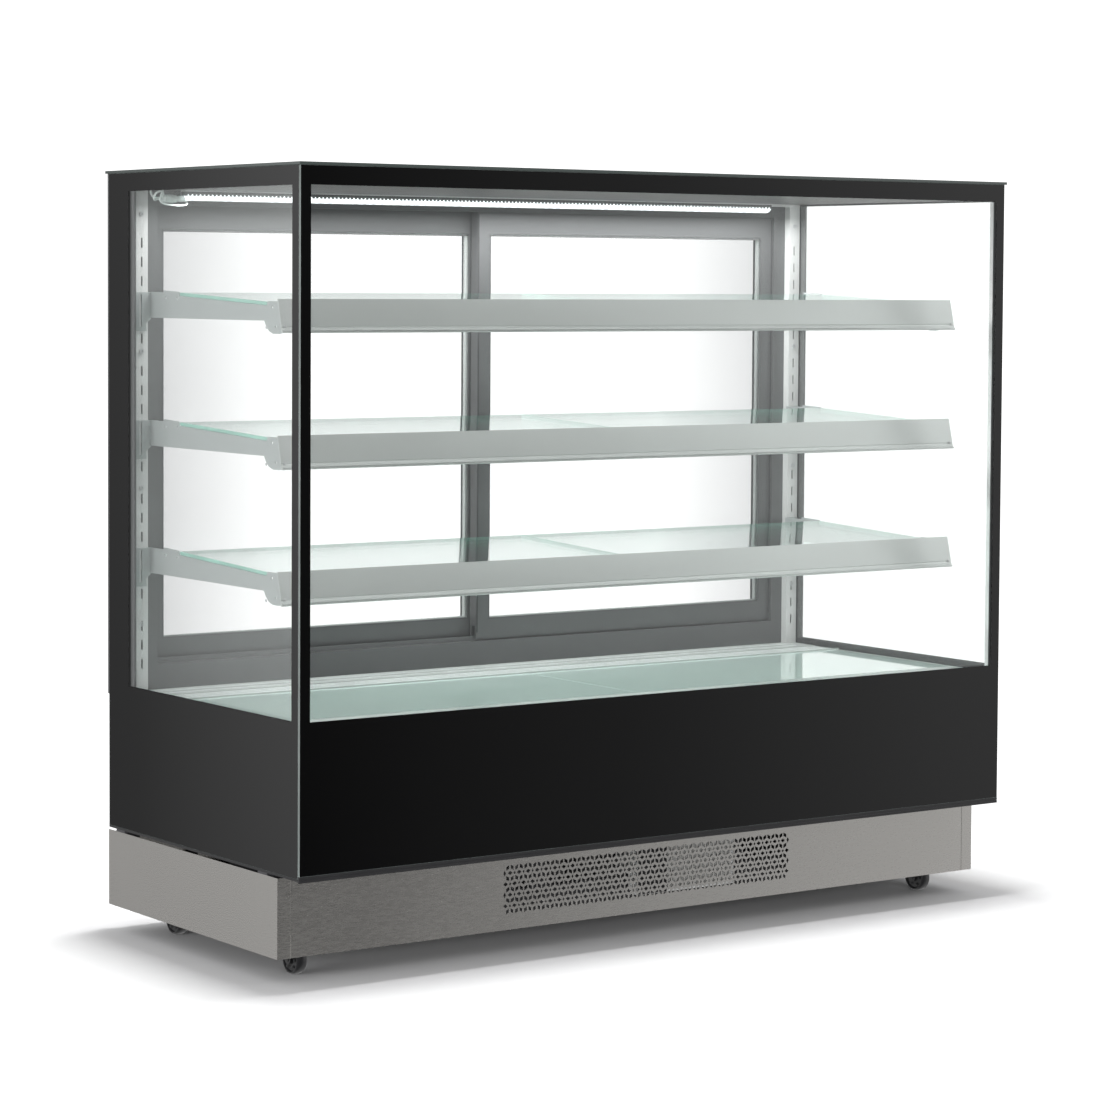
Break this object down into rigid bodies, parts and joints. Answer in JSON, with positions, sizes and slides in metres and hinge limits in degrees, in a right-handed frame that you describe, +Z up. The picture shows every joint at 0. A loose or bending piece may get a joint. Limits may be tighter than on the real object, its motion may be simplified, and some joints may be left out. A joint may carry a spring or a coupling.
{
  "type": "refrigerated deli case",
  "caption": "Square-glass refrigerated deli case with sloped lit glass shelves, a glass deck, sliding rear doors, a black lower body and a perforated plinth on swivel casters.",
  "frame": {"origin": "on the floor, under the middle of the case's overall box", "axes": "+Z up, +X along the width, towards the right seen from the front, +Y from the glass front to the rear doors"},
  "size_m": [1.506, 0.656, 1.321],
  "materials": {
    "frame_black": "semi-gloss black paint",
    "plinth_steel": "brushed stainless sheet",
    "tub_skin": "white coated steel over foam",
    "stainless": "satin stainless sheet",
    "clear_glass": "clear toughened glass",
    "green_glass": "clear glass with green edges",
    "spacer_dark": "dark sealed spacer",
    "black_enamel": "black printed border behind glass",
    "black_trim": "black extruded trim",
    "roof_glass": "black backed toughened glass",
    "frame_steel": "dark satin steel section",
    "aluminium": "mill finish aluminium",
    "screw_steel": "zinc plated screw",
    "lamp_white": "white light diffuser",
    "lead_clear": "translucent connector and lead",
    "zinc_steel": "zinc plated pressed steel",
    "compressor_black": "black enamel",
    "fan_black": "black moulded plastic",
    "black_plastic": "black moulded plastic",
    "switch_green": "translucent green rocker",
    "switch_red": "translucent red rocker",
    "roller_nylon": "white nylon",
    "bracket_steel": "satin plated steel",
    "rail_aluminium": "satin anodised extrusion",
    "wheel_rubber": "black moulded tread"
  },
  "bodies": {
    "cabinet": {"base_frame": "frame_black", "plinth_front_panel": "plinth_steel", "plinth_side_panels": "plinth_steel", "plinth_rear_panel": "plinth_steel", "tank_shell": "tub_skin", "tank_liner": "stainless", "rear_panel": "stainless", "front_glass": "clear_glass", "left_glass": "clear_glass", "right_glass": "clear_glass", "glass_spacers": "spacer_dark", "glass_enamel": "black_enamel", "edge_trims": "black_trim", "top_panel": "roof_glass", "top_lining": "stainless", "rear_frame": "frame_steel", "door_tracks": "aluminium", "deck_frame": "stainless", "deck_ledge": "stainless", "deck_glass": "green_glass", "shelf_standards": "stainless", "standard_screws": "screw_steel", "lamp_channel": "aluminium", "lamp_diffuser": "lamp_white", "lamp_lead": "lead_clear", "caster_plates": "zinc_steel", "compressor": "compressor_black", "condenser": "aluminium", "evaporator": "aluminium", "controller": "black_plastic", "cable_gland": "black_plastic"},
    "door_left": {"door_left_frame": "frame_steel", "door_left_glass": "clear_glass", "door_left_spacer": "aluminium", "door_left_rollers": "roller_nylon"},
    "door_right": {"door_right_frame": "frame_steel", "door_right_glass": "clear_glass", "door_right_spacer": "aluminium", "door_right_rollers": "roller_nylon"},
    "shelf_1": {"shelf_1_brackets": "bracket_steel", "shelf_1_rail": "rail_aluminium", "shelf_1_glass": "green_glass"},
    "shelf_2": {"shelf_2_brackets": "bracket_steel", "shelf_2_rail": "rail_aluminium", "shelf_2_glass": "green_glass"},
    "shelf_3": {"shelf_3_brackets": "bracket_steel", "shelf_3_rail": "rail_aluminium", "shelf_3_glass": "green_glass"},
    "swivel_fl": {"caster_fork_fl": "zinc_steel"},
    "wheel_fl": {"caster_wheel_fl": "wheel_rubber"},
    "swivel_fr": {"caster_fork_fr": "zinc_steel"},
    "wheel_fr": {"caster_wheel_fr": "wheel_rubber"},
    "swivel_rl": {"caster_fork_rl": "zinc_steel"},
    "wheel_rl": {"caster_wheel_rl": "wheel_rubber"},
    "swivel_rr": {"caster_fork_rr": "zinc_steel"},
    "wheel_rr": {"caster_wheel_rr": "wheel_rubber"},
    "condenser_fan": {"condenser_fan": "fan_black"},
    "evaporator_fan": {"evaporator_fan": "fan_black"},
    "light_rocker": {"light_switch": "switch_green"},
    "power_rocker": {"power_switch": "switch_red"}
  },
  "joints": [
    {"name": "door_left_slide", "type": "slide", "parent": "cabinet", "child": "door_left", "axis": [1, 0, 0], "range_m": [0, 0.665]},
    {"name": "door_right_slide", "type": "slide", "parent": "cabinet", "child": "door_right", "axis": [1, 0, 0], "range_m": [-0.665, 0]},
    {"name": "shelf_1_lift", "type": "slide", "parent": "cabinet", "child": "shelf_1", "axis": [0, 0, 1], "range_m": [0, 0.007]},
    {"name": "shelf_2_lift", "type": "slide", "parent": "cabinet", "child": "shelf_2", "axis": [0, 0, 1], "range_m": [0, 0.007]},
    {"name": "shelf_3_lift", "type": "slide", "parent": "cabinet", "child": "shelf_3", "axis": [0, 0, 1], "range_m": [0, 0.007]},
    {"name": "swivel_fl_turn", "type": "hinge", "parent": "cabinet", "child": "swivel_fl", "pos_m": [-0.677, -0.167, 0.06], "axis": [0, 0, 1], "continuous": true},
    {"name": "wheel_fl_spin", "type": "hinge", "parent": "swivel_fl", "child": "wheel_fl", "pos_m": [-0.677, -0.189, 0.025], "axis": [1, 0, 0], "continuous": true},
    {"name": "swivel_fr_turn", "type": "hinge", "parent": "cabinet", "child": "swivel_fr", "pos_m": [0.677, -0.167, 0.06], "axis": [0, 0, 1], "continuous": true},
    {"name": "wheel_fr_spin", "type": "hinge", "parent": "swivel_fr", "child": "wheel_fr", "pos_m": [0.677, -0.189, 0.025], "axis": [1, 0, 0], "continuous": true},
    {"name": "swivel_rl_turn", "type": "hinge", "parent": "cabinet", "child": "swivel_rl", "pos_m": [-0.677, 0.229, 0.06], "axis": [0, 0, 1], "continuous": true},
    {"name": "wheel_rl_spin", "type": "hinge", "parent": "swivel_rl", "child": "wheel_rl", "pos_m": [-0.677, 0.207, 0.025], "axis": [1, 0, 0], "continuous": true},
    {"name": "swivel_rr_turn", "type": "hinge", "parent": "cabinet", "child": "swivel_rr", "pos_m": [0.677, 0.229, 0.06], "axis": [0, 0, 1], "continuous": true},
    {"name": "wheel_rr_spin", "type": "hinge", "parent": "swivel_rr", "child": "wheel_rr", "pos_m": [0.677, 0.207, 0.025], "axis": [1, 0, 0], "continuous": true},
    {"name": "condenser_fan_spin", "type": "hinge", "parent": "cabinet", "child": "condenser_fan", "pos_m": [0.085, -0.212, 0.172], "axis": [0, 1, 0], "continuous": true},
    {"name": "evaporator_fan_spin", "type": "hinge", "parent": "cabinet", "child": "evaporator_fan", "pos_m": [-0.6, 0.12, 0.318], "axis": [0, 0, 1], "continuous": true},
    {"name": "light_rocker_tilt", "type": "hinge", "parent": "cabinet", "child": "light_rocker", "pos_m": [0.486, 0.321, 0.318], "axis": [1, 0, 0], "range_deg": [-16, 0]},
    {"name": "power_rocker_tilt", "type": "hinge", "parent": "cabinet", "child": "power_rocker", "pos_m": [0.446, 0.321, 0.318], "axis": [1, 0, 0], "range_deg": [-16, 0]}
  ]
}
